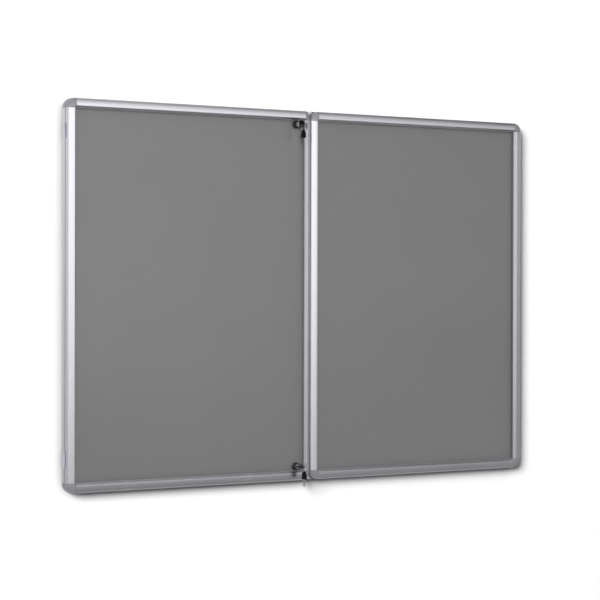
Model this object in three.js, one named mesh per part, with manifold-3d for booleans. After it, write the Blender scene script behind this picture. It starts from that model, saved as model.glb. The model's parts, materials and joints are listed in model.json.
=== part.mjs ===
// Lockable notice board: a shallow felt-lined case that hangs on a wall, behind two glazed doors.
// Millimetres. +X points right, +Z up, and the front faces -Y.
// The origin lies on the wall, behind the middle of the case's top rail, where the board is screwed on.
// Below, heights are counted from the board's middle and depths from the wall forward.

import * as THREE from 'three';
import { mergeVertices } from 'three/addons/utils/BufferGeometryUtils.js';
import Module from 'manifold-3d';

const wasm = await Module();
wasm.setup();

// Whole board
const boardWidth = 1800;
const boardHeight = 1200;
const splitGap = 2;
const doorDepth = 16;
const doorGap = 2;
const fit = 0.3;
const runningFit = 0.1;
const seatGap = 0.1;
const overrun = 5;

// Case section: a channel with a wide back flange and a narrow front flange, with room for bolts and cams
// between the felt and the front flange. Frame width is shared with the doors.
const frameWidth = 30;
const caseWall = 2;
const caseFrontFlange = 14;
const caseEdgeRound = 2;
const caseRoom = 5.5;
const caseBlockGap = 0.8;
const spigotLength = 25;

// Back board and felt
const boardThickness = 6.2;
const feltThickness = 2;
const wallHoleRadius = 2.75;
const wallHoleFromInner = 8;
const wallHoleFromEnd = 100;

// Door section: rounded outer edge, crowned front, lip that slopes down to the glazing
const closingWidth = 20;
const edgeRound = 9;
const crownDrop = 1;
const lipWidth = 6;
const lipDepth = 8;
const backLip = 1.8;
const slotDepth = 9;
const chamberStart = 11;
const chamberWall = 2;
const chamberDepth = 7.7;

// Glazing and gasket
const glazingThickness = 3;
const glazingBackGap = 1.4;
const glazingReach = 7.7;
const gasketReach = 8.7;
const gasketShow = 0.8;

// Hinges
const hingeHeight = 42;
const hingeFromEnd = 102;
const knuckleRadius = 2.5;
const pinRadius = 1.2;
const pinHeadRadius = 2.3;
const pinHeadHeight = 1.2;
const leafThickness = 0.75;
const leafWidth = 13;
const knuckleGap = 0.4;

// Locks
const lockFromStile = 31;
const lockFromRail = 15;
const bezelRadius = 13;
const bezelThickness = 2;
const housingRadius = 11;
const housingFaceRadius = 10;
const housingHeight = 8;
const housingChamfer = 1;
const barrelRadius = 9.4;
const glazingHoleRadius = 9.8;
const plugRadius = 6;
const plugFaceRadius = 7;
const plugFaceThickness = 1.7;
const plugFaceRecess = 1.5;
const plugProud = 0.5;
const tailSide = 7;
const nutAcrossFlats = 24;
const nutThickness = 3.5;
const camFlangeGap = 0.8;
const camThickness = 2;
const camLength = 34;
const camWidth = 12;
const camHubRadius = 8;
const screwHeadRadius = 5.5;
const screwHeadThickness = 1;

// Keys and key rings
const bladeLength = 24;
const bladeWidth = 8;
const bladeThickness = 1.8;
const bladeNeck = 8.5;
const bladeTip = 3;
const bladeRoot = 3;
const slotClearance = 0.3;
const slotExtra = 0.8;
const notchDepth = 1.6;
const notchCount = 4;
const notchPitch = 3.2;
const bowLength = 27;
const bowWidth = 24;
const bowThickness = 3;
const bowEndRadius = 8;
const bowShoulder = 14;
const bowEndAngle = THREE.MathUtils.degToRad(60);
const bowHoleRadius = 3.5;
const bowHoleFromEnd = 4.8;
const ringRadius = 9.4;
const ringWireRadius = 0.6;

// Slide bolts
const boltWidth = 10;
const boltThickness = 2.5;
const boltLength = 64;
const boltBack = 4;
const boltFlangeGap = 0.7;
const boltKnobRadius = 4;
const boltKnobHeight = 3;
const boltKnobFromEnd = 8;
const guideWidth = 20;
const guideLength = 30;
const guideFromFlange = 10;
const guideWall = 0.8;

// Points closer than this are one point
const mergeTolerance = 1e-4;

// Roundness
const cornerSteps = 10;
const roundSteps = 6;
const crownSteps = 4;
const smallRoundSteps = 3;
const turnedSegments = 28;
const ringSegments = 28;
const wireSegments = 8;

// Places that follow from the sizes
const halfWidth = boardWidth / 2;
const halfHeight = boardHeight / 2;
const feltFace = caseWall + fit + boardThickness + feltThickness;
const caseDepth = feltFace + caseRoom + caseWall;
const caseBlockDepth = caseWall + caseRoom - caseBlockGap;
const doorBack = caseDepth + splitGap;
const glazingBack = doorBack + backLip + glazingBackGap;
const glazingFront = glazingBack + glazingThickness;
const slotFront = doorBack + doorDepth - lipDepth;
const lockX = -(doorGap / 2 + closingWidth + lockFromStile);
const lockZ = halfHeight - frameWidth - lockFromRail;
const hingeAxisX = halfWidth + fit + knuckleRadius;
const hingeAxisDepth = caseDepth + splitGap / 2;
const hingeZ = halfHeight - hingeFromEnd;
const knuckleBore = pinRadius + runningFit;

const materials = {
  aluminium: new THREE.MeshStandardMaterial({ color: 0xdadae4, roughness: 0.38, metalness: 0.9 }),
  corner: new THREE.MeshStandardMaterial({ color: 0x8f8f95, roughness: 0.55, metalness: 0 }),
  felt: new THREE.MeshStandardMaterial({ color: 0x7e7f7e, roughness: 0.95, metalness: 0 }),
  board: new THREE.MeshStandardMaterial({ color: 0x9a7f5e, roughness: 0.9, metalness: 0 }),
  glazing: new THREE.MeshStandardMaterial({
    color: 0xf4f8f8, roughness: 0.05, metalness: 0, transparent: true, opacity: 0.2,
  }),
  gasket: new THREE.MeshStandardMaterial({ color: 0x8a8a8c, roughness: 0.7, metalness: 0 }),
  steel: new THREE.MeshStandardMaterial({ color: 0xc4c4c8, roughness: 0.3, metalness: 1 }),
  lock: new THREE.MeshStandardMaterial({ color: 0x2c2c34, roughness: 0.35, metalness: 0.6 }),
  key: new THREE.MeshStandardMaterial({ color: 0x17171b, roughness: 0.4, metalness: 0 }),
};

const board = new THREE.Group();

function addPiece(name, geometry, material) {
  const mesh = new THREE.Mesh(geometry, material);
  mesh.name = name;
  board.add(mesh);
  return mesh;
}

// Solids, joins and cuts

function turnInsideOut(geometry) {
  const index = geometry.index.array;
  for (let i = 0; i < index.length; i += 3) {
    [index[i + 1], index[i + 2]] = [index[i + 2], index[i + 1]];
  }
  return geometry;
}

function signedVolume(geometry) {
  const position = geometry.attributes.position;
  const index = geometry.index.array;
  const corners = [new THREE.Vector3(), new THREE.Vector3(), new THREE.Vector3()];
  let volume = 0;
  for (let i = 0; i < index.length; i += 3) {
    corners.forEach((corner, k) => corner.fromBufferAttribute(position, index[i + k]));
    volume += corners[0].dot(corners[1].clone().cross(corners[2])) / 6;
  }
  return volume;
}

// One closed surface with shared corners, faces pointing out.
function closed(geometry) {
  const bare = geometry.index ? geometry.clone() : geometry;
  bare.deleteAttribute('normal');
  bare.deleteAttribute('uv');
  const merged = mergeVertices(bare, mergeTolerance);
  const index = merged.index.array;
  const kept = [];
  for (let i = 0; i < index.length; i += 3) {
    const [a, b, c] = index.slice(i, i + 3);
    if (a !== b && b !== c && c !== a) kept.push(a, b, c);
  }
  merged.setIndex(kept);
  return signedVolume(merged) < 0 ? turnInsideOut(merged) : merged;
}

function toSolid(geometry) {
  const shell = closed(geometry);
  return new wasm.Manifold(new wasm.Mesh({
    numProp: 3,
    vertProperties: new Float32Array(shell.attributes.position.array),
    triVerts: new Uint32Array(shell.index.array),
  }));
}

function fromSolid(solid) {
  const { vertProperties, triVerts } = solid.getMesh();
  const geometry = new THREE.BufferGeometry();
  geometry.setAttribute('position', new THREE.BufferAttribute(new Float32Array(vertProperties), 3));
  geometry.setIndex(new THREE.BufferAttribute(new Uint32Array(triVerts), 1));
  return geometry;
}

function join(...geometries) {
  return fromSolid(geometries.map(toSolid).reduce((whole, piece) => whole.add(piece)));
}

function cut(geometry, ...tools) {
  return fromSolid(tools.map(toSolid).reduce((whole, tool) => whole.subtract(tool), toSolid(geometry)));
}

// Shapes

function outline(points) {
  return new THREE.Shape(points.map(([x, y]) => new THREE.Vector2(x, y)));
}

function roundedRectangle(x0, x1, y0, y1, radius) {
  const shape = new THREE.Shape();
  shape.absarc(x1 - radius, y1 - radius, radius, 0, Math.PI / 2);
  shape.absarc(x0 + radius, y1 - radius, radius, Math.PI / 2, Math.PI);
  shape.absarc(x0 + radius, y0 + radius, radius, Math.PI, 1.5 * Math.PI);
  shape.absarc(x1 - radius, y0 + radius, radius, 1.5 * Math.PI, 2 * Math.PI);
  return shape;
}

function circlePath(x, y, radius) {
  return new THREE.Path().absarc(x, y, radius, 0, 2 * Math.PI, true);
}

// A flat shape drawn in X and Z, from one depth forward to another.
function plate(shape, fromDepth, toDepth, curveSegments = roundSteps) {
  const geometry = new THREE.ExtrudeGeometry(shape, {
    depth: toDepth - fromDepth, bevelEnabled: false, curveSegments,
  });
  return geometry.translate(0, 0, fromDepth).rotateX(Math.PI / 2);
}

function block(x0, x1, fromDepth, toDepth, z0, z1) {
  const box = new THREE.BoxGeometry(x1 - x0, toDepth - fromDepth, z1 - z0);
  return box.translate((x0 + x1) / 2, -(fromDepth + toDepth) / 2, (z0 + z1) / 2);
}

// A turned shape about a line that points straight out of the wall. Points are radius and depth.
function turned(points, x, z, segments = turnedSegments) {
  const profile = points.map(([radius, depth]) => new THREE.Vector2(radius, depth));
  return new THREE.LatheGeometry(profile, segments).rotateX(Math.PI).translate(x, 0, z);
}

// A rod that stands upright.
function uprightRod(radius, x, depth, z0, z1) {
  const rod = new THREE.CylinderGeometry(radius, radius, z1 - z0, turnedSegments);
  return rod.rotateX(Math.PI / 2).translate(x, -depth, (z0 + z1) / 2);
}

// Sections. The first number runs from the opening outward and the second from the section's back forward.

function quarterRound(centre, radii, steps) {
  const points = [];
  for (let i = 0; i <= steps; i += 1) {
    const angle = (i / steps) * Math.PI / 2;
    points.push([centre[0] + radii[0] * Math.cos(angle), centre[1] + radii[1] * Math.sin(angle)]);
  }
  return points;
}

function doorSection(width) {
  const roundStart = width - edgeRound;
  const crown = [];
  for (let i = 1; i < crownSteps; i += 1) {
    const share = 1 - i / crownSteps;
    crown.push([lipWidth + share * (roundStart - lipWidth), doorDepth - crownDrop * share ** 2]);
  }
  return [
    [0, 0],
    [width, 0],
    ...quarterRound([roundStart, doorDepth - edgeRound], [edgeRound, edgeRound - crownDrop], roundSteps),
    ...crown,
    [lipWidth, doorDepth],
    [0, doorDepth - lipDepth],
    [slotDepth, doorDepth - lipDepth],
    [slotDepth, backLip],
    [0, backLip],
  ];
}

function chamber(width, inset = 0) {
  const x0 = chamberStart + inset;
  const x1 = width - chamberWall - inset;
  const y0 = backLip + inset;
  const y1 = backLip + chamberDepth - inset;
  return { x0, x1, y0, y1 };
}

function caseSection(flangeDepth) {
  const flangeInner = frameWidth - caseFrontFlange;
  const r = caseEdgeRound;
  return [
    [0, 0],
    ...quarterRound([frameWidth - r, r], [r, -r], smallRoundSteps).reverse(),
    ...quarterRound([frameWidth - r, caseDepth - r], [r, r], smallRoundSteps),
    [flangeInner, caseDepth],
    [flangeInner, caseDepth - flangeDepth],
    [frameWidth - caseWall, caseDepth - flangeDepth],
    [frameWidth - caseWall, caseWall],
    [0, caseWall],
  ];
}

// A straight bar whose section's outward direction is given, laid on the opening's edge.
function bar(section, outward, start, length, backDepth) {
  const geometry = new THREE.ExtrudeGeometry(outline(section), { depth: length, bevelEnabled: false });
  const forward = new THREE.Vector3(0, -1, 0);
  const along = outward.clone().cross(forward);
  const turn = new THREE.Matrix4().makeBasis(outward, forward, along);
  turn.setPosition(start.x, -backDepth, start.z);
  return geometry.applyMatrix4(turn);
}

// A rail or stile of a rectangular frame, between its two corner pieces. Spare lengthens both ends.
function frameBar(section, opening, side, backDepth, spare = 0) {
  const { left, right, bottom, top } = opening;
  const end = fit - spare;
  const places = {
    top: [new THREE.Vector3(0, 0, 1), left + end, top, right - left],
    bottom: [new THREE.Vector3(0, 0, -1), right - end, bottom, right - left],
    left: [new THREE.Vector3(-1, 0, 0), left, bottom + end, top - bottom],
    right: [new THREE.Vector3(1, 0, 0), right, top - end, top - bottom],
  };
  const [outward, x, z, span] = places[side];
  return bar(section, outward, new THREE.Vector3(x, 0, z), span - 2 * end, backDepth);
}

// A corner piece: the section swept round the opening's corner, from the stile's width to the rail's.
function sweptCorner(stileSection, railSection) {
  const positions = [];
  const index = [];
  const count = stileSection.length;
  for (let step = 0; step <= cornerSteps; step += 1) {
    const angle = (step / cornerSteps) * Math.PI / 2;
    stileSection.forEach(([acrossStile, depth], k) => {
      positions.push(acrossStile * Math.cos(angle), -depth, railSection[k][0] * Math.sin(angle));
    });
  }
  for (let step = 0; step < cornerSteps; step += 1) {
    for (let k = 0; k < count; k += 1) {
      const next = (k + 1) % count;
      const a = step * count;
      const b = a + count;
      index.push(a + k, b + k, b + next, a + k, b + next, a + next);
    }
  }
  const last = cornerSteps * count;
  const flat = stileSection.map(([x, y]) => new THREE.Vector2(x, y));
  THREE.ShapeUtils.triangulateShape(flat, []).forEach(([a, b, c]) => {
    index.push(a, b, c, last + a, last + c, last + b);
  });
  const geometry = new THREE.BufferGeometry();
  geometry.setAttribute('position', new THREE.Float32BufferAttribute(positions, 3));
  geometry.setIndex(index);
  return geometry;
}

// The corner piece with one spigot into the stile and one into the rail.
function cornerPiece(stileSection, railSection, stileSpigot, railSpigot) {
  const s = stileSpigot;
  const r = railSpigot;
  return join(
    sweptCorner(stileSection, railSection),
    block(s.x0, s.x1, s.y0, s.y1, -spigotLength, overrun),
    block(-spigotLength, overrun, r.y0, r.y1, r.x0, r.x1),
  );
}

// A shape drawn for the top right, turned over for another corner and set in its place.
function placeTurnedOver(geometry, signX, signZ, x, z, backDepth) {
  const placed = geometry.clone();
  placed.applyMatrix4(new THREE.Matrix4().makeScale(signX, 1, signZ));
  if (signX * signZ < 0) turnInsideOut(placed);
  return placed.translate(x, -backDepth, z);
}

// Case

const caseOpening = {
  left: -(halfWidth - frameWidth), right: halfWidth - frameWidth,
  bottom: -(halfHeight - frameWidth), top: halfHeight - frameWidth,
};
const wallHoles = [];
for (const signX of [-1, 1]) {
  for (const signZ of [-1, 1]) {
    wallHoles.push([
      signX * (halfWidth - wallHoleFromEnd), signZ * (halfHeight - frameWidth + wallHoleFromInner),
    ]);
  }
}

function holeThroughBack([x, z]) {
  return turned(
    [[0, -overrun], [wallHoleRadius, -overrun], [wallHoleRadius, feltFace + fit], [0, feltFace + fit]], x, z,
  );
}

function makeCase() {
  const railSection = caseSection(caseWall);
  for (const side of ['top', 'bottom', 'left', 'right']) {
    const rail = frameBar(railSection, caseOpening, side, 0);
    const holes = wallHoles.filter(([, z]) => (side === 'top' && z > 0) || (side === 'bottom' && z < 0));
    const kind = side === 'top' || side === 'bottom' ? 'rail' : 'stile';
    const finished = holes.length ? cut(rail, ...holes.map(holeThroughBack)) : closed(rail);
    addPiece(`case_${side}_${kind}`, finished, materials.aluminium);
  }
  const blockSection = caseSection(caseBlockDepth);
  const spigot = {
    x0: frameWidth - caseFrontFlange + 2 * fit,
    x1: frameWidth - caseWall - fit,
    y0: caseDepth - caseBlockDepth + fit,
    y1: caseDepth - caseWall - fit,
  };
  const corner = cornerPiece(blockSection, blockSection, spigot, spigot);
  for (const [nameX, signX] of [['left', -1], ['right', 1]]) {
    for (const [nameZ, signZ] of [['top', 1], ['bottom', -1]]) {
      const x = signX * caseOpening.right;
      const z = signZ * caseOpening.top;
      addPiece(`case_corner_${nameZ}_${nameX}`, placeTurnedOver(corner, signX, signZ, x, z, 0), materials.corner);
    }
  }
  const reach = frameWidth - caseWall - fit;
  const sheet = roundedRectangle(
    caseOpening.left - reach, caseOpening.right + reach, caseOpening.bottom - reach, caseOpening.top + reach, reach,
  );
  for (const [x, z] of wallHoles) sheet.holes.push(circlePath(x, z, wallHoleRadius));
  const boardBack = caseWall + fit;
  const boardFront = boardBack + boardThickness;
  addPiece('back_board', closed(plate(sheet, boardBack, boardFront, cornerSteps)), materials.board);
  addPiece('felt_cover', closed(plate(sheet, boardFront, feltFace, cornerSteps)), materials.felt);
}

// Doors

function makeDoor(name, sign, meetingWidth) {
  const hingeInner = sign * (halfWidth - frameWidth);
  const meetingInner = sign * (doorGap / 2 + meetingWidth);
  const opening = {
    left: Math.min(hingeInner, meetingInner), right: Math.max(hingeInner, meetingInner),
    bottom: -(halfHeight - frameWidth), top: halfHeight - frameWidth,
  };
  const widths = { top: frameWidth, bottom: frameWidth };
  widths[sign < 0 ? 'left' : 'right'] = frameWidth;
  widths[sign < 0 ? 'right' : 'left'] = meetingWidth;
  const names = { top: 'top_rail', bottom: 'bottom_rail' };
  names[sign < 0 ? 'left' : 'right'] = 'hinge_stile';
  names[sign < 0 ? 'right' : 'left'] = 'meeting_stile';
  for (const side of ['top', 'bottom', 'left', 'right']) {
    const width = widths[side];
    const { x0, x1, y0, y1 } = chamber(width);
    const hollow = [[x0, y0], [x1, y0], [x1, y1], [x0, y1]];
    addPiece(`${name}_${names[side]}`, cut(
      frameBar(doorSection(width), opening, side, doorBack),
      frameBar(hollow, opening, side, doorBack, overrun),
    ), materials.aluminium);
  }
  const cornerPlaces = [
    ['hinge', hingeInner, sign, frameWidth],
    ['meeting', meetingInner, -sign, meetingWidth],
  ];
  for (const [place, x, signX, width] of cornerPlaces) {
    const corner = cornerPiece(
      doorSection(width), doorSection(frameWidth), chamber(width, fit), chamber(frameWidth, fit),
    );
    for (const [nameZ, signZ] of [['top', 1], ['bottom', -1]]) {
      const z = signZ * opening.top;
      addPiece(`${name}_corner_${nameZ}_${place}`, placeTurnedOver(corner, signX, signZ, x, z, doorBack),
        materials.corner);
    }
  }
  return opening;
}

function grownOpening(opening, reach, radius) {
  return roundedRectangle(
    opening.left - reach, opening.right + reach, opening.bottom - reach, opening.top + reach, radius,
  );
}

function makeGlazing(name, opening, holes) {
  const sheet = grownOpening(opening, glazingReach, glazingReach);
  for (const [x, z] of holes) sheet.holes.push(circlePath(x, z, glazingHoleRadius));
  addPiece(`${name}_glazing`, closed(plate(sheet, glazingBack, glazingFront)), materials.glazing);
  const ring = grownOpening(opening, gasketReach, gasketReach);
  const inner = new THREE.Path([
    new THREE.Vector2(opening.left + gasketShow, opening.bottom + gasketShow),
    new THREE.Vector2(opening.left + gasketShow, opening.top - gasketShow),
    new THREE.Vector2(opening.right - gasketShow, opening.top - gasketShow),
    new THREE.Vector2(opening.right - gasketShow, opening.bottom + gasketShow),
  ]);
  ring.holes.push(inner);
  const channel = grownOpening(opening, glazingReach + fit, glazingReach + fit);
  const gasket = cut(
    plate(ring, doorBack + backLip + fit, slotFront - fit),
    plate(channel, glazingBack - fit, glazingFront + fit),
  );
  addPiece(`${name}_gasket`, gasket, materials.gasket);
}

// Hinges

function knuckle(x, z0, z1) {
  return cut(
    uprightRod(knuckleRadius, x, hingeAxisDepth, z0, z1),
    uprightRod(knuckleBore, x, hingeAxisDepth, z0 - overrun, z1 + overrun),
  );
}

// A leaf: a thin plate with a short tongue into each of its knuckles.
function leaf(sign, fromDepth, toDepth, z0, z1, knuckles) {
  const edge = sign * halfWidth;
  const inner = sign * (halfWidth - leafWidth);
  const root = sign * (hingeAxisX - knuckleBore - seatGap);
  const span = (a, b) => [Math.min(a, b), Math.max(a, b)];
  const pieces = [block(...span(inner, edge), fromDepth, toDepth, z0, z1)];
  for (const [low, high] of knuckles) {
    pieces.push(block(...span(inner, root), fromDepth, toDepth, low, high));
    pieces.push(knuckle(sign * hingeAxisX, low, high));
  }
  return join(...pieces);
}

function makeHinge(name, sign, z) {
  const low = z - hingeHeight / 2;
  const high = z + hingeHeight / 2;
  const third = hingeHeight / 3;
  const caseLeafBack = caseDepth + seatGap;
  const doorLeafFront = doorBack - seatGap;
  const caseKnuckles = [[low, low + third], [high - third, high]];
  const doorKnuckles = [[low + third + knuckleGap, high - third - knuckleGap]];
  addPiece(`${name}_case_leaf`,
    leaf(sign, caseLeafBack, caseLeafBack + leafThickness, low, high, caseKnuckles), materials.steel);
  addPiece(`${name}_door_leaf`,
    leaf(sign, doorLeafFront - leafThickness, doorLeafFront, low, high, doorKnuckles), materials.steel);
  const x = sign * hingeAxisX;
  const headBottom = high + knuckleGap;
  addPiece(`${name}_pin`, join(
    uprightRod(pinRadius, x, hingeAxisDepth, low, headBottom + pinHeadHeight / 2),
    uprightRod(pinHeadRadius, x, hingeAxisDepth, headBottom, headBottom + pinHeadHeight),
  ), materials.steel);
}

// Locks

const bezelBack = glazingFront + fit;
const housingFace = glazingFront + housingHeight;
const camFront = caseDepth - caseWall - camFlangeGap;
const camBack = camFront - camThickness;
const barrelBack = camFront + fit;
const plugFace = housingFace + plugProud;
const keyholeBack = plugFace - (bladeLength - bladeNeck) - slotExtra;

function lockBody(x, z) {
  const boreRadius = plugRadius + runningFit;
  const recessRadius = plugFaceRadius + runningFit;
  return closed(turned([
    [boreRadius, barrelBack],
    [barrelRadius, barrelBack],
    [barrelRadius, bezelBack],
    [bezelRadius, bezelBack],
    [bezelRadius, bezelBack + bezelThickness],
    [housingRadius, bezelBack + bezelThickness],
    [housingFaceRadius, housingFace - housingChamfer],
    [housingFaceRadius - housingChamfer, housingFace],
    [recessRadius, housingFace],
    [recessRadius, housingFace - plugFaceRecess],
    [boreRadius, housingFace - plugFaceRecess],
    [boreRadius, barrelBack],
  ], x, z));
}

function lockPlug(x, z, bladeUpright) {
  const body = turned([
    [0, camFront + fit],
    [plugRadius, camFront + fit],
    [plugRadius, plugFace - plugFaceThickness],
    [plugFaceRadius, plugFace - plugFaceThickness],
    [plugFaceRadius, plugFace],
    [0, plugFace],
  ], x, z);
  const tailBack = camBack - fit;
  const half = tailSide / 2;
  const tail = block(x - half, x + half, tailBack - screwHeadThickness / 2, camFront + fit + half,
    z - half, z + half);
  const screwHead = turned([
    [0, tailBack - screwHeadThickness],
    [screwHeadRadius, tailBack - screwHeadThickness],
    [screwHeadRadius, tailBack],
    [0, tailBack],
  ], x, z);
  const wide = bladeWidth / 2 + slotClearance;
  const thin = bladeThickness / 2 + slotClearance;
  const halfX = bladeUpright ? thin : wide;
  const halfZ = bladeUpright ? wide : thin;
  const keyhole = block(x - halfX, x + halfX, keyholeBack, plugFace + overrun, z - halfZ, z + halfZ);
  return cut(join(body, tail, screwHead), keyhole);
}

function lockNut(x, z) {
  const corner = nutAcrossFlats / 2 / Math.cos(Math.PI / 6);
  const shape = new THREE.Shape();
  for (let i = 0; i < 6; i += 1) {
    const angle = i * Math.PI / 3;
    const point = [x + corner * Math.cos(angle), z + corner * Math.sin(angle)];
    if (i === 0) shape.moveTo(...point);
    else shape.lineTo(...point);
  }
  shape.holes.push(circlePath(x, z, barrelRadius + fit));
  const front = glazingBack - fit;
  return closed(plate(shape, front - nutThickness, front, turnedSegments / 2));
}

function lockCam(x, z) {
  const half = camWidth / 2;
  const turn = Math.asin(half / camHubRadius);
  const shape = new THREE.Shape();
  shape.absarc(x, z, camHubRadius, turn, 2 * Math.PI - turn);
  shape.lineTo(x + camLength - half, z - half);
  shape.absarc(x + camLength - half, z, half, -Math.PI / 2, Math.PI / 2);
  const hole = tailSide / 2 + fit;
  shape.holes.push(new THREE.Path([
    new THREE.Vector2(x - hole, z - hole), new THREE.Vector2(x - hole, z + hole),
    new THREE.Vector2(x + hole, z + hole), new THREE.Vector2(x + hole, z - hole),
  ]));
  return closed(plate(shape, camBack, camFront, 2 * roundSteps));
}

// Keys. A key is drawn along +Y: blade tip down, bow up, with the blade's root at the origin.

const bowHoleY = bowLength - bowHoleFromEnd;

function keyShape() {
  const half = bowWidth / 2;
  const capY = bowLength - bowEndRadius;
  const bow = new THREE.Shape();
  bow.moveTo(-half, 0);
  bow.lineTo(half, 0);
  bow.lineTo(half, bowShoulder);
  bow.absarc(0, capY, bowEndRadius, Math.PI / 2 - bowEndAngle, Math.PI / 2 + bowEndAngle);
  bow.lineTo(-half, bowShoulder);
  bow.holes.push(circlePath(0, bowHoleY, bowHoleRadius));
  const bowSolid = new THREE.ExtrudeGeometry(bow, {
    depth: bowThickness, bevelEnabled: false, curveSegments: 2 * roundSteps,
  }).translate(0, 0, -bowThickness / 2);
  const blade = new THREE.Shape();
  const edge = bladeWidth / 2;
  blade.moveTo(-edge, bladeRoot);
  blade.lineTo(-edge, -(bladeLength - bladeTip));
  blade.lineTo(0, -bladeLength);
  blade.lineTo(edge, -(bladeLength - bladeTip));
  const firstNotch = bladeLength - bladeTip - notchPitch / 2;
  for (let i = 0; i < notchCount; i += 1) {
    const y = -(firstNotch - i * notchPitch);
    blade.lineTo(edge, y);
    blade.lineTo(edge - notchDepth, y + notchPitch / 2);
  }
  blade.lineTo(edge, -(firstNotch - notchCount * notchPitch));
  blade.lineTo(edge, bladeRoot);
  const bladeSolid = new THREE.ExtrudeGeometry(blade, {
    depth: bladeThickness, bevelEnabled: false,
  }).translate(0, 0, -bladeThickness / 2);
  return join(bowSolid, bladeSolid);
}

// The ring hangs on the strip of bow beside the hole, and keeps clear of it however the strip is turned.
const bowHalfAtHole = Math.sqrt(bowEndRadius ** 2 - (bowEndRadius - bowHoleFromEnd) ** 2);
const stripMiddle = (bowHalfAtHole + bowHoleRadius) / 2;
const stripHalf = (bowHalfAtHole - bowHoleRadius) / 2;
const ringInner = ringRadius - ringWireRadius;
const ringBelowStrip = ringInner - runningFit - (stripHalf + bowThickness / 2) * Math.SQRT1_2;
const spareBelowRing = ringInner + bowHoleRadius - 2 * fit;

function makeKeys(name, x, z, bowUpright) {
  const keyGeometry = keyShape();
  const rootDepth = plugFace + bladeNeck;
  const holeDepth = rootDepth + bowHoleY;
  const lockKey = addPiece(`${name}_lock_key`, keyGeometry, materials.key);
  lockKey.position.set(x, -rootDepth, z);
  const across = bowUpright ? new THREE.Vector3(0, 0, 1) : new THREE.Vector3(1, 0, 0);
  const out = new THREE.Vector3(0, -1, 0);
  lockKey.setRotationFromMatrix(new THREE.Matrix4().makeBasis(across, out, across.clone().cross(out)));

  const ringX = x + (bowUpright ? 0 : stripMiddle);
  const ringZ = z - ringBelowStrip - (bowUpright ? stripMiddle : 0);
  const wire = [];
  for (let i = 0; i <= wireSegments; i += 1) {
    const angle = (i / wireSegments) * 2 * Math.PI;
    wire.push(new THREE.Vector2(
      ringRadius + ringWireRadius * Math.cos(angle), ringWireRadius * Math.sin(angle),
    ));
  }
  const ring = addPiece(`${name}_key_ring`, closed(new THREE.LatheGeometry(wire, ringSegments)), materials.steel);
  ring.position.set(ringX, -holeDepth, ringZ);

  const spare = addPiece(`${name}_spare_key`, keyGeometry.clone(), materials.key);
  spare.position.set(ringX, -holeDepth, ringZ - spareBelowRing - bowHoleY);
  const up = new THREE.Vector3(0, 0, 1);
  const forward = new THREE.Vector3(0, -1, 0);
  spare.setRotationFromMatrix(new THREE.Matrix4().makeBasis(forward, up, forward.clone().cross(up)));
}

function makeLock(name, signZ, bowUpright) {
  const z = signZ * lockZ;
  addPiece(`${name}_lock_body`, lockBody(lockX, z), materials.lock);
  addPiece(`${name}_lock_nut`, lockNut(lockX, z), materials.steel);
  addPiece(`${name}_lock_plug`, lockPlug(lockX, z, bowUpright), materials.steel);
  addPiece(`${name}_lock_cam`, lockCam(lockX, z), materials.steel);
  makeKeys(name, lockX, z, bowUpright);
}

// Slide bolts behind the right door's meeting stile

function makeSlideBolt(name, signZ) {
  const x = doorGap / 2 + frameWidth / 2;
  const flangeEdge = halfHeight - caseFrontFlange;
  const boltFront = caseDepth - caseWall - boltFlangeGap;
  const boltRear = boltFront - boltThickness;
  const boltTop = flangeEdge - boltBack;
  const boltBottom = boltTop - boltLength;
  const knobZ = boltBottom + boltKnobFromEnd;
  const half = boltWidth / 2;
  const upright = join(
    block(x - half, x + half, boltRear, boltFront, boltBottom, boltTop),
    turned([
      [0, boltFront - boltThickness / 2],
      [boltKnobRadius, boltFront - boltThickness / 2],
      [boltKnobRadius, boltFront + boltKnobHeight],
      [0, boltFront + boltKnobHeight],
    ], x, knobZ, turnedSegments / 2),
  );
  const guideTop = flangeEdge - guideFromFlange;
  const guide = cut(
    block(x - guideWidth / 2, x + guideWidth / 2, boltRear - fit - guideWall, doorBack - seatGap,
      guideTop - guideLength, guideTop),
    block(x - half - fit, x + half + fit, boltRear - fit, boltFront + fit,
      guideTop - guideLength - overrun, guideTop + overrun),
  );
  const flip = (geometry) => (signZ > 0 ? geometry : placeTurnedOver(geometry, 1, -1, 0, 0, 0));
  addPiece(`${name}_bolt`, flip(upright), materials.steel);
  addPiece(`${name}_bolt_guide`, flip(guide), materials.steel);
}

makeCase();
const leftOpening = makeDoor('left_door', -1, closingWidth);
const rightOpening = makeDoor('right_door', 1, frameWidth);
makeGlazing('left_door', leftOpening, [[lockX, lockZ], [lockX, -lockZ]]);
makeGlazing('right_door', rightOpening, []);
for (const [nameX, signX] of [['left', -1], ['right', 1]]) {
  for (const [nameZ, signZ] of [['top', 1], ['bottom', -1]]) {
    makeHinge(`${nameX}_${nameZ}_hinge`, signX, signZ * hingeZ);
  }
}
makeLock('top', 1, true);
makeLock('bottom', -1, false);
makeSlideBolt('top', 1);
makeSlideBolt('bottom', -1);
board.position.z = -(halfHeight - frameWidth / 2);

export default board;
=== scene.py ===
# %% [markdown]
# # A lockable notice board
#
# The board is a shallow felt-lined case on a wall, behind two glazed doors in slim rounded metal frames.
# Its solids come ready made, at their real size, so this lesson is about looks: soft edges, real finishes,
# small hardware, plain studio light and a camera. Lengths are metres, the front faces -Y and Z is up.
# The origin lies on the wall, behind the middle of the case's top rail.

import json
from math import cos, pi, radians, sin

import bpy
from mathutils import Matrix, Vector


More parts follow.
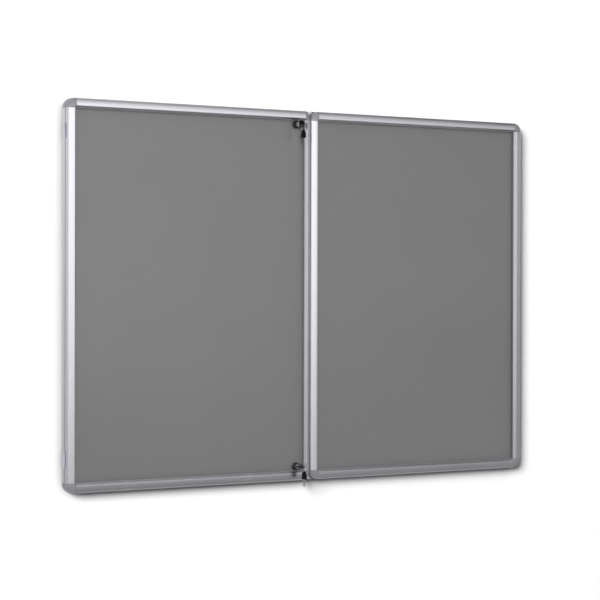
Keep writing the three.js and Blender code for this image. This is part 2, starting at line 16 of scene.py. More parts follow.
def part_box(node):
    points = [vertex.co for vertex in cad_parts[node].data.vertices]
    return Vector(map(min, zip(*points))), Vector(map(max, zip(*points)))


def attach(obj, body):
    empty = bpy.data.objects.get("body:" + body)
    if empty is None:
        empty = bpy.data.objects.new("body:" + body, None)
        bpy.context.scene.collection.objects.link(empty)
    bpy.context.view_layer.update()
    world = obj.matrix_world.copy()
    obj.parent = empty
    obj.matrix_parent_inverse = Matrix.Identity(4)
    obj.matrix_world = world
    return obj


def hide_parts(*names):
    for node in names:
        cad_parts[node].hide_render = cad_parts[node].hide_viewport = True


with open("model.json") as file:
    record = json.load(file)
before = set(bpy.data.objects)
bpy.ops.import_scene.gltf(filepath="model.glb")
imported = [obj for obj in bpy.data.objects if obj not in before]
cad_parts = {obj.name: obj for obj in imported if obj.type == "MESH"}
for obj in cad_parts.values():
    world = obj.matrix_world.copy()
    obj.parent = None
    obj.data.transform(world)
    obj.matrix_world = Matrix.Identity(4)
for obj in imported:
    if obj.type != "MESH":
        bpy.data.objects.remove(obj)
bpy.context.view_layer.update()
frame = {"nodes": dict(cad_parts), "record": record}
nodes = frame["nodes"]
slot_of = {part["node"]: part["material_slot"] for part in frame["record"]["subparts"]}
body_of = {name: body for body, names in frame["record"]["behaviour"]["bodies"].items() for name in names}
board_left, board_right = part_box("case_left_stile")[0].x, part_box("case_right_stile")[1].x
board_bottom, board_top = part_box("case_bottom_rail")[0].z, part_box("case_top_rail")[1].z

# %% [markdown]
# ## Camera
#
# The picture was taken from the left and a little above the board's middle, from about seven metres away.
# A long lens at that distance keeps the far side of the board from shrinking too much. The camera's three
# directions are worked out from how far it turns to the right, tips and rolls, and set as one matrix,
# because that is exact where a track-to constraint would level the camera.

# %% Camera
board_middle = Vector((0, 0, (board_bottom + board_top) / 2))
camera_place = board_middle + Vector((-4.092, -5.819, 0.025))
turn_right, tip_up, roll = radians(34.99), radians(-0.3215), radians(0.1244)
picture_pixels = 600
lens_pixels = 2175

ahead = Vector((sin(turn_right) * cos(tip_up), cos(turn_right) * cos(tip_up), sin(tip_up)))
level_right = Vector((cos(turn_right), -sin(turn_right), 0))
level_up = level_right.cross(ahead)
right = level_right * cos(roll) + level_up * sin(roll)
up = level_up * cos(roll) - level_right * sin(roll)
bpy.ops.object.camera_add()
camera = bpy.context.object
camera.matrix_world = Matrix.Translation(camera_place) @ Matrix((right, up, -ahead)).transposed().to_4x4()
camera.data.sensor_fit = "HORIZONTAL"
camera.data.lens = camera.data.sensor_width * lens_pixels / picture_pixels
camera.data.clip_end = 200
bpy.context.scene.camera = camera
print("lens", round(camera.data.lens, 1), "mm")

# %% [markdown]
# ## Writing finishes as expressions
#
# A finish is a small network of nodes. Wiring each Math node by hand hides what the network says, so
# Socket wraps the output of a node and lets + - * / build the Math nodes. Finish owns one network. Its
# method called node adds any node: its type, its settings, then the values or links of its sockets. The
# other methods are short names for the nodes that come up most.

# %% Sockets and finishes
class Socket:
    """The output of a node. Sums and products on it add Math nodes."""

    def __init__(self, finish, output):
        self.finish = finish
        self.output = output

    def math(self, operation, first, second):
        return self.finish.node("ShaderNodeMath", {"operation": operation}, {0: first, 1: second})

    def __add__(self, other):
        return self.math("ADD", self, other)

    def __sub__(self, other):
        return self.math("SUBTRACT", self, other)

    def __rsub__(self, other):
        return self.math("SUBTRACT", other, self)

    def __mul__(self, other):
        return self.math("MULTIPLY", self, other)

    def __truediv__(self, other):
        return self.math("DIVIDE", self, other)

    __radd__ = __add__
    __rmul__ = __mul__


class Finish:
    """One network of nodes, on a material or on the world."""

    def __init__(self, owner):
        owner.use_nodes = True
        self.owner = owner
        self.tree = owner.node_tree
        self.tree.nodes.clear()

    def node(self, kind, settings=None, sockets=None, output=0):
        """Any node. Output names the socket that is wanted, or a tuple names several."""
        made = self.tree.nodes.new(kind)
        for name, value in (settings or {}).items():
            setattr(made, name, value)
        for name, value in (sockets or {}).items():
            if isinstance(value, Socket):
                self.tree.links.new(value.output, made.inputs[name])
            else:
                made.inputs[name].default_value = value
        if isinstance(output, tuple):
            return [Socket(self, made.outputs[name]) for name in output]
        return Socket(self, made.outputs[output])

    def place(self, scale=(1, 1, 1)):
        """Where a point lies on the piece, stretched by a scale for each direction."""
        here = self.node("ShaderNodeTexCoord", output="Object")
        return self.node("ShaderNodeMapping", {}, {"Vector": here, "Scale": scale})

    def noise(self, scale, detail=2.0, roughness=0.5, stretch=(1, 1, 1)):
        """A cloudy pattern. Scale counts its patches along a metre."""
        return self.node("ShaderNodeTexNoise", {}, {
            "Vector": self.place(stretch), "Scale": scale, "Detail": detail, "Roughness": roughness})

    def between(self, mask, low, high):
        """A colour that goes from low to high as the mask goes from 0 to 1."""
        return self.node("ShaderNodeMix", {"data_type": "RGBA"}, {
            "Factor": mask, 6: (*low, 1), 7: (*high, 1)}, 2)

    def rise(self, value, low, high):
        """0 below low and 1 above high, with a smooth step between."""
        return self.node("ShaderNodeMapRange", {"interpolation_type": "SMOOTHSTEP"}, {
            "Value": value, "From Min": low, "From Max": high})

    def bump(self, height, distance, strength=1.0):
        """Tilts the shading as if the surface rose by distance where height is 1."""
        return self.node("ShaderNodeBump", {}, {"Height": height, "Distance": distance, "Strength": strength})

    def surface(self, **sockets):
        """The main shader of a finish. Its sockets go by short names."""
        names = {"base": "Base Color", "specular": "Specular IOR Level", "sheen": "Sheen Weight"}
        values = {names.get(key, key.capitalize()): value for key, value in sockets.items()}
        return self.node("ShaderNodeBsdfPrincipled", {}, values)

    def done(self, shader, kind="ShaderNodeOutputMaterial"):
        end = self.tree.nodes.new(kind)
        self.tree.links.new(shader.output, end.inputs["Surface"])
        print("finish", self.owner.name, len(self.tree.nodes), "nodes")
        return self.owner


def new_finish(name):
    return Finish(bpy.data.materials.new(name))


# %% [markdown]
# ## Satin anodised aluminium
#
# The rails and stiles are pressed through a die and then anodised, so they carry faint lines that run
# their whole length, and a soft satin shine. One fine noise, stretched very long in the bar's direction,
# gives the lines: they change the roughness a little, the colour even less, and raise a very low bump.
# A second, wide noise stands for the cloudiness of handling. Rails and stiles need their own version,
# since the lines follow the bar. The metal stays fully metallic, so light does the rest. The case's front
# flange, where the closed doors cover it, is rougher and its colour is darkened by painted shade, a little
# unevenly, so that a thin dark line of painted shade shows between case and door. It stays bright in the
# middle, where the doors' round corners leave it open.

# %% Aluminium
bar_pale, bar_dark = (0.73, 0.73, 0.775), (0.66, 0.66, 0.705)
# The flange's colour at full painted shade.
flange_painted_shade = (0.09, 0.09, 0.10)
open_within, painted_shade_beyond = 0.012, 0.018
line_density = 2400
along_bar = 0.002
satin, line_roughness, cloud_roughness = 0.23, 0.03, 0.04


def aluminium(name, stretch):
    f = new_finish(name)
    lines = f.noise(line_density, detail=3, roughness=0.6, stretch=stretch)
    cloud = f.noise(6)
    roughness = satin + line_roughness * lines + cloud_roughness * cloud
    return f.done(f.surface(
        base=f.between(lines * 0.5 + cloud * 0.5, bar_dark, bar_pale), metallic=1.0, roughness=roughness,
        normal=f.bump(lines, 0.00001, strength=0.3)))


rail_metal = aluminium("satin_aluminium_rail", (along_bar, 1, 1))
stile_metal = aluminium("satin_aluminium_stile", (1, 1, along_bar))

# Painted shade: the flange's colour darkens away from the middle, standing in for the shade between case and
# closed doors.
f = new_finish("aluminium_flange_painted_shade")
painted_shade_blotches = f.noise(90, detail=4, roughness=0.6)
across, _ = f.node("ShaderNodeSeparateXYZ", {}, {"Vector": f.place()}, ("X", "Y"))
from_middle = f.node("ShaderNodeMath", {"operation": "ABSOLUTE"}, {0: across})
painted_shade_mask = f.rise(from_middle, open_within, painted_shade_beyond)
flange_metal_painted_shade = f.done(f.surface(
    base=f.between(painted_shade_mask * (0.9 + 0.1 * painted_shade_blotches), bar_pale, flange_painted_shade), metallic=1.0,
    roughness=0.3 + 0.25 * painted_shade_mask))

# %% [markdown]
# ## Moulded corners
#
# The corners are plastic mouldings lacquered in a metallic grey, with the fine spark-eroded grain of
# their mould. Metal flakes in a lacquer shine like metal and its binder like plastic, so the finish is
# about half metallic. A dense noise is the grain, read as bump. A wide noise changes the grey slightly,
# as thick and thin places do in a coat.

# %% Corners
f = new_finish("grey_corner_moulding")
grain = f.noise(2600)
flow = f.noise(30)
corner_plastic = f.done(f.surface(
    base=f.between(flow, (0.262, 0.257, 0.284), (0.312, 0.305, 0.337)), metallic=0.45,
    roughness=0.28 + 0.12 * grain, normal=f.bump(grain, 0.00006)))

# %% [markdown]
# ## Felt
#
# Felt is a mat of short fibres that lie every way. Two noises make the mat: a fine one, about half a
# millimetre, for the fibres, and one of about two millimetres for the tufts where the mat is denser. They
# darken the grey between fibres and lift a soft bump. A wide one keeps the big sheet from looking printed.
# A little sheen catches the light on the fibre ends, as it does on real felt seen from the side.

# %% Felt
f = new_finish("grey_felt")
fibres = f.noise(2300, detail=4, roughness=0.7)
tufts = f.noise(520, detail=3, roughness=0.6)
patches = f.noise(3.5)
mat = 0.6 * fibres + 0.15 * tufts + 0.25 * patches
felt = f.done(f.surface(
    base=f.between(mat, (0.179, 0.179, 0.179), (0.224, 0.224, 0.222)), roughness=0.95, specular=0.2,
    sheen=0.12, normal=f.bump(0.9 * fibres + 0.1 * tufts, 0.0002, strength=0.35)))

# %% [markdown]
# ## Soft fibreboard
#
# The back of the case is bare fibreboard. Its chips show as short brown flecks, so the noise is
# stretched sideways, and a coarse bump gives the pressed surface.

# %% Fibreboard
f = new_finish("soft_fibreboard")
chips = f.noise(260, detail=5, roughness=0.7, stretch=(0.35, 1, 1))
fleck = f.noise(60, detail=3, roughness=0.6)
fibreboard = f.done(f.surface(
    base=f.between(0.6 * chips + 0.4 * fleck, (0.20, 0.13, 0.075), (0.42, 0.31, 0.19)), roughness=0.9,
    specular=0.2, normal=f.bump(chips, 0.0004)))

# %% [markdown]
# ## Clear acrylic glazing
#
# A thin clear sheet does two things: most light goes straight through, and a few parts in a hundred
# bounce off, more towards a grazing view. A Transparent and a Glossy shader mixed by Fresnel say just
# that, and unlike a refracting sheet they let the lamps light the felt behind. Fresnel takes the far side
# of the sheet for the inside of a solid, where slanting light would turn back, so its IOR is turned over
# there. A faint dust noise adds to the mix, since a public board's glazing is never perfectly clean.

# %% Glazing
ior = 1.2
clear_colour, gloss_colour = (0.955, 0.955, 0.955, 1), (0.97, 0.97, 1.0, 1)
gloss_roughness = 0.08
dust_gloss = 0.01

f = new_finish("clear_acrylic")
behind = f.node("ShaderNodeNewGeometry", output="Backfacing")
fresnel = f.node("ShaderNodeFresnel", {}, {"IOR": ior * (1 - behind) + 1 / ior * behind})
dust = f.noise(45, detail=5, roughness=0.7)
clear = f.node("ShaderNodeBsdfTransparent", {}, {"Color": clear_colour})
gloss = f.node("ShaderNodeBsdfGlossy", {}, {"Color": gloss_colour, "Roughness": gloss_roughness})
glazing = f.done(f.node("ShaderNodeMixShader", {}, {0: fresnel + dust_gloss * dust, 1: clear, 2: gloss}))

# %% [markdown]
# ## Small hardware
#
# Grey rubber for the gaskets, silver lacquer for the hinge leaves, which match the frame, zinc plate for
# pins, nuts, cams, bolts, rings and screws, dark chrome and black enamel for the lock housings, nickel for
# plugs and key blades, and black moulded plastic for the key bows. Each is the same kind of network with
# its own grain: rubber has a matt skin, zinc has faint crystals, nickel is milled, and the plastic carries
# a fine mould grain and hardly shines.

# %% Hardware finishes
grain_roughness = 0.15
grains_in_a_patch = 12


def grained(name, dark, pale, metallic, roughness, scale, height, stretch=(1, 1, 1), **more):
    """Grain and wear mix dark and pale. Scale counts the grains along a metre, height is their rise."""
    f = new_finish(name)
    grain = f.noise(scale, detail=3, roughness=0.6, stretch=stretch)
    wear = f.noise(scale / grains_in_a_patch)
    return f.done(f.surface(
        base=f.between(0.6 * grain + 0.4 * wear, dark, pale), metallic=metallic,
        roughness=roughness + grain_roughness * grain, normal=f.bump(grain, height), **more))


rubber = grained(
    "grey_rubber", (0.22, 0.22, 0.225), (0.29, 0.29, 0.295),
    metallic=0.0, roughness=0.6, scale=1800, height=0.00005)
zinc = grained(
    "zinc_plate", (0.50, 0.49, 0.54), (0.66, 0.65, 0.70),
    metallic=1.0, roughness=0.3, scale=500, height=0.00001)
silver = grained(
    "silver_lacquer", (0.47, 0.46, 0.55), (0.55, 0.54, 0.64),
    metallic=0.3, roughness=0.38, scale=900, height=0.00001)
dark_chrome = grained(
    "dark_chrome", (0.11, 0.11, 0.13), (0.16, 0.16, 0.18),
    metallic=1.0, roughness=0.16, scale=900, height=0.00001)
black_enamel = grained(
    "black_enamel", (0.006, 0.006, 0.010), (0.014, 0.014, 0.021),
    metallic=0.0, roughness=0.3, scale=900, height=0.00002)
nickel = grained(
    "nickel", (0.36, 0.355, 0.35), (0.50, 0.495, 0.49),
    metallic=1.0, roughness=0.2, scale=700, height=0.00001, stretch=(1, 1, 4))
black_plastic = grained(
    "black_key_moulding", (0.003, 0.003, 0.0045), (0.006, 0.006, 0.009),
    metallic=0.0, roughness=0.5, scale=2200, height=0.00004, specular=0.15)

finish_of_slot = {
    "felt": felt, "fibreboard": fibreboard, "clear_glazing": glazing, "gasket_rubber": rubber,
    "steel": zinc, "lock_metal": dark_chrome,
}

# %% [markdown]
# ## Soft edges on the ready-made solids
#
# The solids are cut with perfect edges and flat facets. Real edges are a little round, and a rounded
# edge is what catches a line of light. The solid itself isn't touched: a copy of its mesh is merged, its
# flat faces are joined, and a narrow bevel is applied on the sharp edges only. Shading smooth by angle
# then hides the facets of the round front. That also tilts the shading of the long flat faces a little
# towards the bevels at their ends, which a mirror finish shows, so weighted normals, which let the large
# faces win, come last. The copy rides on the same body and stands for the solid.

# %% Soft-edged copies
edge = 0.0004
sharp_angle = radians(35)
merge_distance = 0.00001
flat_angle = radians(0.2)


def only(piece):
    """Makes the piece the one that the next operators work on."""
    bpy.ops.object.select_all(action="DESELECT")
    piece.select_set(True)
    bpy.context.view_layer.objects.active = piece


def merged_copy(node, name):
    piece = bpy.data.objects.new(name, nodes[node].data.copy())
    bpy.context.scene.collection.objects.link(piece)
    only(piece)
    bpy.ops.object.mode_set(mode="EDIT")
    bpy.ops.mesh.select_all(action="SELECT")
    bpy.ops.mesh.remove_doubles(threshold=merge_distance)
    bpy.ops.mesh.dissolve_limited(angle_limit=flat_angle)
    bpy.ops.object.mode_set(mode="OBJECT")
    return piece


def soften(piece, width, segments=2):
    only(piece)
    bevel = piece.modifiers.new("edges", "BEVEL")
    bevel.width, bevel.segments = width, segments
    bevel.limit_method, bevel.angle_limit = "ANGLE", sharp_angle
    bevel.use_clamp_overlap = True
    bpy.ops.object.modifier_apply(modifier=bevel.name)
    bpy.ops.object.shade_smooth_by_angle(angle=sharp_angle)
    weighted = piece.modifiers.new("large faces stay flat", "WEIGHTED_NORMAL")
    weighted.keep_sharp = True
    bpy.ops.object.modifier_apply(modifier=weighted.name)


def finish_with(piece, material):
    piece.data.materials.clear()
    piece.data.materials.append(material)


def stand_for(piece, node, material):
    finish_with(piece, material)
    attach(piece, body_of[node])
    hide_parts(node)


def soft_edged(node, material, width):
    piece = merged_copy(node, node + ".soft")
    soften(piece, width)
    stand_for(piece, node, material)
    return piece


def finish_front(piece, material, limit):
    """Gives its own finish to each face that looks forward, with the y of its normal below limit."""
    piece.data.materials.append(material)
    for polygon in piece.data.polygons:
        polygon.material_index = 1 if polygon.normal.y < limit else 0


looks_forward, looks_straight_forward = -0.6, -0.95
for node in sorted(nodes):
    if slot_of[node] == "aluminium":
        metal = rail_metal if node.endswith("rail") else stile_metal
        piece = soft_edged(node, metal, edge)
        # The case's forward faces take the flange finish with painted shade.
        if node.startswith("case_"):
            finish_front(piece, flange_metal_painted_shade, looks_forward)
    elif slot_of[node] == "corner_plastic":
        soft_edged(node, corner_plastic, edge)
print("frame pieces softened")

# %% [markdown]
# ## Sheets
#
# The felt, the back board, the glazing and the gaskets already have their true shape, and their edges
# are hidden in the frames. They keep their solids and only get their finishes.

# %% Sheets keep their solids
for node in ("felt_cover", "back_board", "left_door_glazing", "right_door_glazing",
             "left_door_gasket", "right_door_gasket"):
    finish_with(nodes[node], finish_of_slot[slot_of[node]])

# %% [markdown]
# ## Hinges, locks and bolts
#
# These are small turned and stamped pieces, so the same soft edges serve, only narrower. The lock's
# housing has a dark chrome wall between black enamelled front faces, its plug is nickel and the hinge
# leaves are lacquered. So plug and leaves get their own finishes, and the faces of the housing that look
# straight forward get the enamel.

# %% Hardware
fine_edge = 0.00015
for node in sorted(nodes):
    if slot_of[node] in ("steel", "lock_metal") and not node.endswith("key_ring"):
        material = finish_of_slot[slot_of[node]]
        if node.endswith("lock_plug"):
            material = nickel
        elif node.endswith("_leaf"):
            material = silver
        piece = soft_edged(node, material, fine_edge)
        if node.endswith("lock_body"):
            finish_front(piece, black_enamel, looks_straight_forward)
print("hardware softened")

# %% [markdown]
# ## Keys
#
# A cabinet key is two things: a stamped nickel blade, and a black plastic bow moulded over its end. The
# solid is both in one, so two copies are bisected at the bow's root. The bow's two flat faces are inset
# and pushed in, which leaves the raised rim that such bows have, and then its edges are rounded. All
# four keys are alike, but each is cut from its own solid, so that each lies exactly where it belongs.

# %% Keys
bow_length = 0.027
bow_rim = 0.0016
rim_height = 0.0005
bow_edge, bow_edge_segments = 0.0005, 3
blade_edge = 0.0001
blade_overlap = 0.0001
faces_sideways = 0.99


def cut_copy(node, name, point, normal):
    """A copy of the solid with everything on the normal's side of the point cut away."""
    piece = merged_copy(node, name)
    bpy.ops.object.mode_set(mode="EDIT")
    bpy.ops.mesh.select_all(action="SELECT")
    bpy.ops.mesh.bisect(plane_co=point, plane_no=normal, clear_outer=True, use_fill=True)
    bpy.ops.object.mode_set(mode="OBJECT")
    return piece


def select_faces(piece, wanted):
    only(piece)
    bpy.ops.object.mode_set(mode="EDIT")
    bpy.ops.mesh.select_mode(type="FACE")
    bpy.ops.mesh.select_all(action="DESELECT")
    bpy.ops.object.mode_set(mode="OBJECT")
    for polygon in piece.data.polygons:
        polygon.select = wanted(polygon)
    bpy.ops.object.mode_set(mode="EDIT")


def make_key(node, bow_end, towards_blade, flat):
    """Flat is the direction across the bow's two flat faces."""
    root = bow_end + towards_blade * bow_length
    bow = cut_copy(node, node + ".bow", root, towards_blade)
    for side in (flat, -flat):
        select_faces(bow, lambda polygon: polygon.normal.dot(side) > faces_sideways)
        bpy.ops.mesh.inset(thickness=bow_rim)
        bpy.ops.transform.translate(value=-side * rim_height)
        bpy.ops.object.mode_set(mode="OBJECT")
    soften(bow, bow_edge, bow_edge_segments)
    stand_for(bow, node, black_plastic)
    blade = cut_copy(node, node + ".blade", root - towards_blade * blade_overlap, -towards_blade)
    soften(blade, blade_edge)
    finish_with(blade, nickel)
    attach(blade, body_of[node])
    print(node, "bow and blade", len(bow.data.polygons), len(blade.data.polygons), "faces")


sideways, upright = Vector((1, 0, 0)), Vector((0, 0, 1))
into_lock, down = Vector((0, 1, 0)), Vector((0, 0, -1))
for lock, flat in (("top", sideways), ("bottom", upright)):
    low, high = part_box(f"{lock}_lock_key")
    middle = (low + high) / 2
    make_key(f"{lock}_lock_key", Vector((middle.x, low.y, middle.z)), into_lock, flat)
    low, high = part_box(f"{lock}_spare_key")
    middle = (low + high) / 2
    make_key(f"{lock}_spare_key", Vector((middle.x, middle.y, high.z)), down, sideways)

# %% [markdown]
# ## Split rings
#
# A split ring is spring wire wound twice, so its outside shows a fine seam between the two turns. A
# torus gives the ring, and the loop of points furthest from the middle is drawn in to make the seam.

# %% Split rings
seam_depth = 0.00018
ring_segments, wire_segments = 72, 16
ring_smooth_angle = radians(50)


def make_ring(node):
    low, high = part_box(node)
    middle = (low + high) / 2
    wire = (high.y - low.y) / 2
    outer = (high.x - low.x) / 2
    near = wire / 20
    bpy.ops.object.select_all(action="DESELECT")
    bpy.ops.mesh.primitive_torus_add(
        location=middle, rotation=(pi / 2, 0, 0), major_segments=ring_segments, minor_segments=wire_segments,
        major_radius=outer - wire, minor_radius=wire)
    ring = bpy.context.object
    ring.name = node + ".split"
    bpy.ops.object.transform_apply(location=True, rotation=True, scale=True)
    for vertex in ring.data.vertices:
        arm = vertex.co - middle
        if abs(arm.y) < near and arm.length > outer - near:
            vertex.co -= arm.normalized() * seam_depth
    bpy.ops.object.shade_smooth_by_angle(angle=ring_smooth_angle)
    stand_for(ring, node, zinc)


make_ring("top_key_ring")
make_ring("bottom_key_ring")

# %% [markdown]
# ## Screws
#
# The hinge leaves are held by small flat-headed screws and the case by four round-headed ones. A screw
# head is a short cylinder whose front face is inset twice and raised into a low dome, with a cross cut by
# two bars. Each kind is modelled once at the origin, pointing at -Y, and copied with its own mesh to each
# place. Two screws hold each leaf, and the wall screws stand over the holes of the back board.

# %% Screws
front, rear = Vector((0, -1, 0)), Vector((0, 1, 0))
leaf_head_radius, leaf_head_height = 0.0026, 0.0006
leaf_from_split = 0.00015
screw_rise, screw_inset = 0.013, 0.006
wall_head_radius, wall_head_height = 0.0045, 0.0012
wall_screw_from_side, wall_screw_from_edge = 0.1, 0.022
head_sides = 28
dome_steps = (0.45, 0.3)
cross_length, cross_width, cross_depth = 1.1, 0.26, 0.6
head_edge = 0.04


def head_pattern(radius, height, dome):
    """Each dome step is a share of the radius and of the dome. The cross's depth is a share of the height,
    and its other sizes and the edge are shares of the radius."""
    bpy.ops.object.select_all(action="DESELECT")
    bpy.ops.mesh.primitive_cylinder_add(
        vertices=head_sides, radius=radius, depth=height, rotation=(pi / 2, 0, 0))
    head = bpy.context.object
    bpy.ops.object.transform_apply(location=True, rotation=True, scale=True)
    for share in dome_steps:
        select_faces(head, lambda polygon: polygon.normal.y < looks_straight_forward
                     and polygon.center.length < dome + height)
        bpy.ops.mesh.inset(thickness=radius * share)
        bpy.ops.transform.translate(value=(0, -dome * share, 0))
        bpy.ops.object.mode_set(mode="OBJECT")
    long, wide = radius * cross_length, radius * cross_width
    for size_x, size_z in ((long, wide), (wide, long)):
        bpy.ops.mesh.primitive_cube_add(size=1, location=(0, -height / 2 - dome, 0))
        bar = bpy.context.object
        bar.scale = (size_x, 2 * dome + height * cross_depth, size_z)
        bpy.ops.object.transform_apply(location=True, rotation=True, scale=True)
        cut = head.modifiers.new("cross", "BOOLEAN")
        cut.operation, cut.object, cut.solver = "DIFFERENCE", bar, "EXACT"
        only(head)
        bpy.ops.object.modifier_apply(modifier=cut.name)
        bpy.data.objects.remove(bar)
    soften(head, radius * head_edge)
    return head


def place_head(pattern, name, place, facing, body):
    screw = bpy.data.objects.new(name, pattern.data.copy())
    bpy.context.scene.collection.objects.link(screw)
    turn = front.rotation_difference(facing).to_matrix().to_4x4()
    screw.data.transform(Matrix.Translation(place) @ turn)
    finish_with(screw, zinc)
    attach(screw, body)


# %% Hinge screws
leaf_head = head_pattern(leaf_head_radius, leaf_head_height, 0.0)
for side, sign in (("left", -1), ("right", 1)):
    for level in ("top", "bottom"):
        low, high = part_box(f"{side}_{level}_hinge_pin")
        split = (low.y + high.y) / 2
        for leaf, facing in (("case", front), ("door", rear)):
            node = f"{side}_{level}_hinge_{leaf}_leaf"
            low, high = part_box(node)
            inner = high.x if sign < 0 else low.x
            leaf_face = split - facing.y * leaf_from_split
            for letter, rise in (("a", -screw_rise), ("b", screw_rise)):
                place = Vector((
                    inner + sign * screw_inset, leaf_face - facing.y * leaf_head_height / 2,
                    (low.z + high.z) / 2 + rise))
                place_head(leaf_head, f"{node}.screw_{letter}", place, facing, body_of[node])
bpy.data.objects.remove(leaf_head)

# %% Wall screws
wall_head = head_pattern(wall_head_radius, wall_head_height, wall_head_height)
wall_screw_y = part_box("felt_cover")[0].y - wall_head_height / 2
wall_screws = [
    Vector((x, wall_screw_y, z))
    for x in (board_left + wall_screw_from_side, board_right - wall_screw_from_side)
    for z in (board_top - wall_screw_from_edge, board_bottom + wall_screw_from_edge)]
for number, place in enumerate(wall_screws):
    place_head(wall_head, f"wall_screw_{number}", place, front, "case")
bpy.data.objects.remove(wall_head)

# %% [markdown]
# ## Wall and floor
#
# The board hangs on a white wall above a pale floor. Both are stage, not part of the object. Each has a
# matt colour that takes light and shadow, and a second look that only gloss and glass see. The wall's
# colour also carries painted shade close to the board, where a corner would be darker. Metal and glass are
# mirrors, so what they show is chosen apart from what the camera sees: the wall is a pale grey there,
# dimmer above the board, and the floor is dark near the board and grows brighter with distance. The wall
# turns transparent on its back, so that the back of the board can be seen through it, and it lets light
# through to what touches it.

# %% Finish of the stage
shaded_share = 0.1
touching_within, clear_beyond = 0.005, 0.01


def stage_finish(name, colour, glow, mirrored, shade, see_through_back=False):
    """A matt colour that shade dims, with a glow for the camera. Mirrored is what gloss and glass see.
    Shade and mirrored are functions of the finish."""
    f = new_finish(name)
    seen, in_gloss, in_glass = f.node("ShaderNodeLightPath", output=(
        "Is Camera Ray", "Is Glossy Ray", "Is Transmission Ray"))
    in_shade = [channel * shaded_share for channel in colour]
    # The shade function darkens the matt colour itself; on the wall that is painted shade.
    matt = f.surface(base=f.between(shade(f), colour, in_shade), roughness=0.9, specular=0.1)
    lit = f.node("ShaderNodeAddShader", {}, {
        0: matt, 1: f.node("ShaderNodeEmission", {}, {"Strength": seen * glow})})
    mirror_look = f.node("ShaderNodeEmission", {}, {"Strength": mirrored(f)})
    both = f.node("ShaderNodeMixShader", {}, {0: in_gloss + in_glass, 1: lit, 2: mirror_look})
    if not see_through_back:
        return f.done(both)
    behind = f.node("ShaderNodeNewGeometry", output="Backfacing")
    from_matt, length = f.node("ShaderNodeLightPath", output=("Is Diffuse Ray", "Ray Length"))
    touching = from_matt * (1 - f.rise(length, touching_within, clear_beyond))
    clear = f.node("ShaderNodeBsdfTransparent")
    return f.done(f.node("ShaderNodeMixShader", {}, {0: behind + touching, 1: both, 2: clear}))


# %% Shade on the stage
wall_size, floor_size, board_above_floor = 24, 160, 1.5
floor_level = board_middle.z - board_above_floor
wall_height = floor_level + wall_size / 2
middle_on_wall, top_on_wall = board_middle.z - wall_height, board_top - wall_height
contact_reach, contact_fade = 0.075, 0.03


def even_shade(f):
    """Hardly any shade, in wide patches."""
    return 0.03 * f.noise(2.0)


def painted_contact_shade(f):
    """Painted shade: darkens the wall's colour close beside and below the board, and not above it, where the
    light comes from.
    """
    openness = f.node("ShaderNodeAmbientOcclusion", {"samples": 8}, {"Distance": contact_reach}, "AO")
    _, height = f.node("ShaderNodeSeparateXYZ", {}, {"Vector": f.place()}, ("X", "Y"))
    return even_shade(f) + (1 - openness) * (1 - f.rise(height, top_on_wall - contact_fade, top_on_wall))


# %% Wall and floor as metal shows them
beside_low, beside_gain, gain_reach = 0.56, 0.34, 0.9
above_left, above_drop = 0.75, 0.4
drop_from, drop_to = -1.0, 0.9
top_fade = 0.02
floor_near, floor_gain = 0.28, 1.1
gain_from, gain_to = 3.0, 44.0
dim_from, dim_to = 0.48, 0.66


def wall_in_metal(f):
    """A pale grey that is brighter towards the top of the board, and dim above it, mostly to the right."""
    to_right, height = f.node("ShaderNodeSeparateXYZ", {}, {"Vector": f.place()}, ("X", "Y"))
    higher = f.rise(height, middle_on_wall - gain_reach, middle_on_wall + gain_reach)
    beside = beside_low + beside_gain * higher
    above = above_left - above_drop * f.rise(to_right, drop_from, drop_to)
    return beside + (above - beside) * f.rise(height, top_on_wall, top_on_wall + top_fade)


def floor_in_metal(f):
    """Dark near the board, brighter far away, except to the right, where the room is dim."""
    here = f.place()
    distance = f.node("ShaderNodeVectorMath", {"operation": "LENGTH"}, {0: here}, "Value")
    to_right, _ = f.node("ShaderNodeSeparateXYZ", {}, {"Vector": here}, ("X", "Y"))
    far = f.rise(distance, gain_from, gain_to)
    right_side = f.rise(to_right / distance, dim_from, dim_to)
    return floor_near + floor_gain * far * (1 - right_side)


# %% Wall and floor
wall_from_board = 0.001
wall_grey, floor_grey, floor_glow = (0.4, 0.4, 0.4), (0.45, 0.45, 0.46), 0.3


def stage_plane(name, size, place, rotation, material):
    bpy.ops.object.select_all(action="DESELECT")
    bpy.ops.mesh.primitive_plane_add(size=size, location=place, rotation=rotation)
    plane = bpy.context.object
    plane.name = name
    finish_with(plane, material)
    return plane


wall_white = stage_finish("white_wall", wall_grey, 0.0, wall_in_metal, painted_contact_shade, see_through_back=True)
floor_pale = stage_finish("pale_floor", floor_grey, floor_glow, floor_in_metal, even_shade)
wall = stage_plane("wall", wall_size, (0, wall_from_board, wall_height), (pi / 2, 0, 0), wall_white)
stage_plane("floor", floor_size, (0, 0, floor_level), (0, 0, 0), floor_pale)
print("floor at", round(floor_level, 3))

# %% [markdown]
# ## Light
#
# Two large soft lamps do two jobs. The wall lamp stands far to the left, a little above the board, and by
# light linking it falls on the wall alone: it makes the wall white and draws the board's soft shadow to
# the right and below. The front lamp stands behind the camera, falls on all but the wall and keeps the felt
# even. Neither is mirrored by the metal. What the metal mirrors is the room: a low bright window all
# across the front, which fades far to the left and to the right, and a dimmer room above it, dimmest to
# the right. The camera sees plain white, and matt surfaces get an even, lower level. Because the world
# answers each kind of ray in its own way, it isn't sampled as a lamp.

# %% Lamps
lamp_distance = 30.0


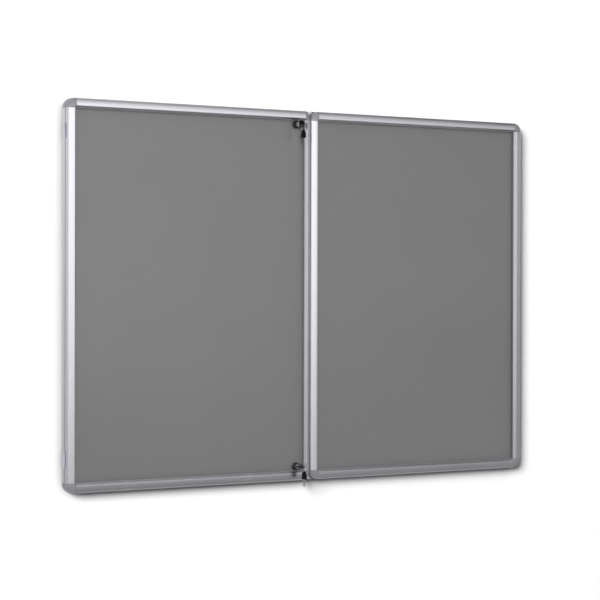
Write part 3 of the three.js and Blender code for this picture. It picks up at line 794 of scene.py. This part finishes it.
def soft_lamp(name, turn_left, rise, width, watts, lit, only_that):
    """A round lamp aimed at the board's middle, that lights only one stage piece, or all but that piece."""
    way = Vector((-sin(turn_left) * cos(rise), -cos(turn_left) * cos(rise), sin(rise)))
    bpy.ops.object.light_add(type="AREA", location=board_middle + way * lamp_distance)
    lamp = bpy.context.object
    lamp.name = name
    lamp.data.shape, lamp.data.size, lamp.data.energy = "DISK", width, watts
    lamp.rotation_euler = (-way).to_track_quat("-Z", "Y").to_euler()
    lamp.visible_glossy = False
    receivers = bpy.data.collections.new(name + "_receivers")
    receivers.objects.link(lit)
    if not only_that:
        receivers.collection_objects[0].light_linking.link_state = "EXCLUDE"
    lamp.light_linking.receiver_collection = receivers
    print(name, [round(c, 2) for c in lamp.location])


soft_lamp("wall_lamp", turn_left=radians(54), rise=radians(19), width=15.3, watts=41000, lit=wall,
          only_that=True)
soft_lamp("front_lamp", turn_left=radians(30), rise=radians(4), width=9.3, watts=7700, lit=wall,
          only_that=False)

# %% Room
room_level, window_level, matt_level = 0.56, 1.7, 0.5
right_dimming, dimming_from, dimming_to = 0.5, 0.02, 0.34
window_left, window_full = -1.1, -0.4
window_fades_from, window_top = 0.18, 0.36

world = bpy.data.worlds.new("studio")
bpy.context.scene.world = world
f = Finish(world)
seen, on_matt = f.node("ShaderNodeLightPath", output=("Is Camera Ray", "Is Diffuse Ray"))
way = f.node("ShaderNodeTexCoord", output="Generated")
to_right, upwards = f.node("ShaderNodeSeparateXYZ", {}, {"Vector": way}, ("X", "Z"))
right_side = f.rise(to_right, dim_from, dim_to)
dim = room_level - right_dimming * right_side * f.rise(upwards, dimming_from, dimming_to)
across = (1 - right_side) * f.rise(to_right, window_left, window_full)
window = across * (1 - f.rise(upwards, window_fades_from, window_top))
mirrored = dim + (window_level - dim) * window
level = seen + matt_level * on_matt + (1 - seen - on_matt) * mirrored
background = f.node("ShaderNodeBackground", {}, {"Color": (1, 1, 1, 1), "Strength": level})
f.done(background, "ShaderNodeOutputWorld")
world.cycles.sampling_method = "NONE"

bpy.context.scene.view_settings.view_transform = "Standard"
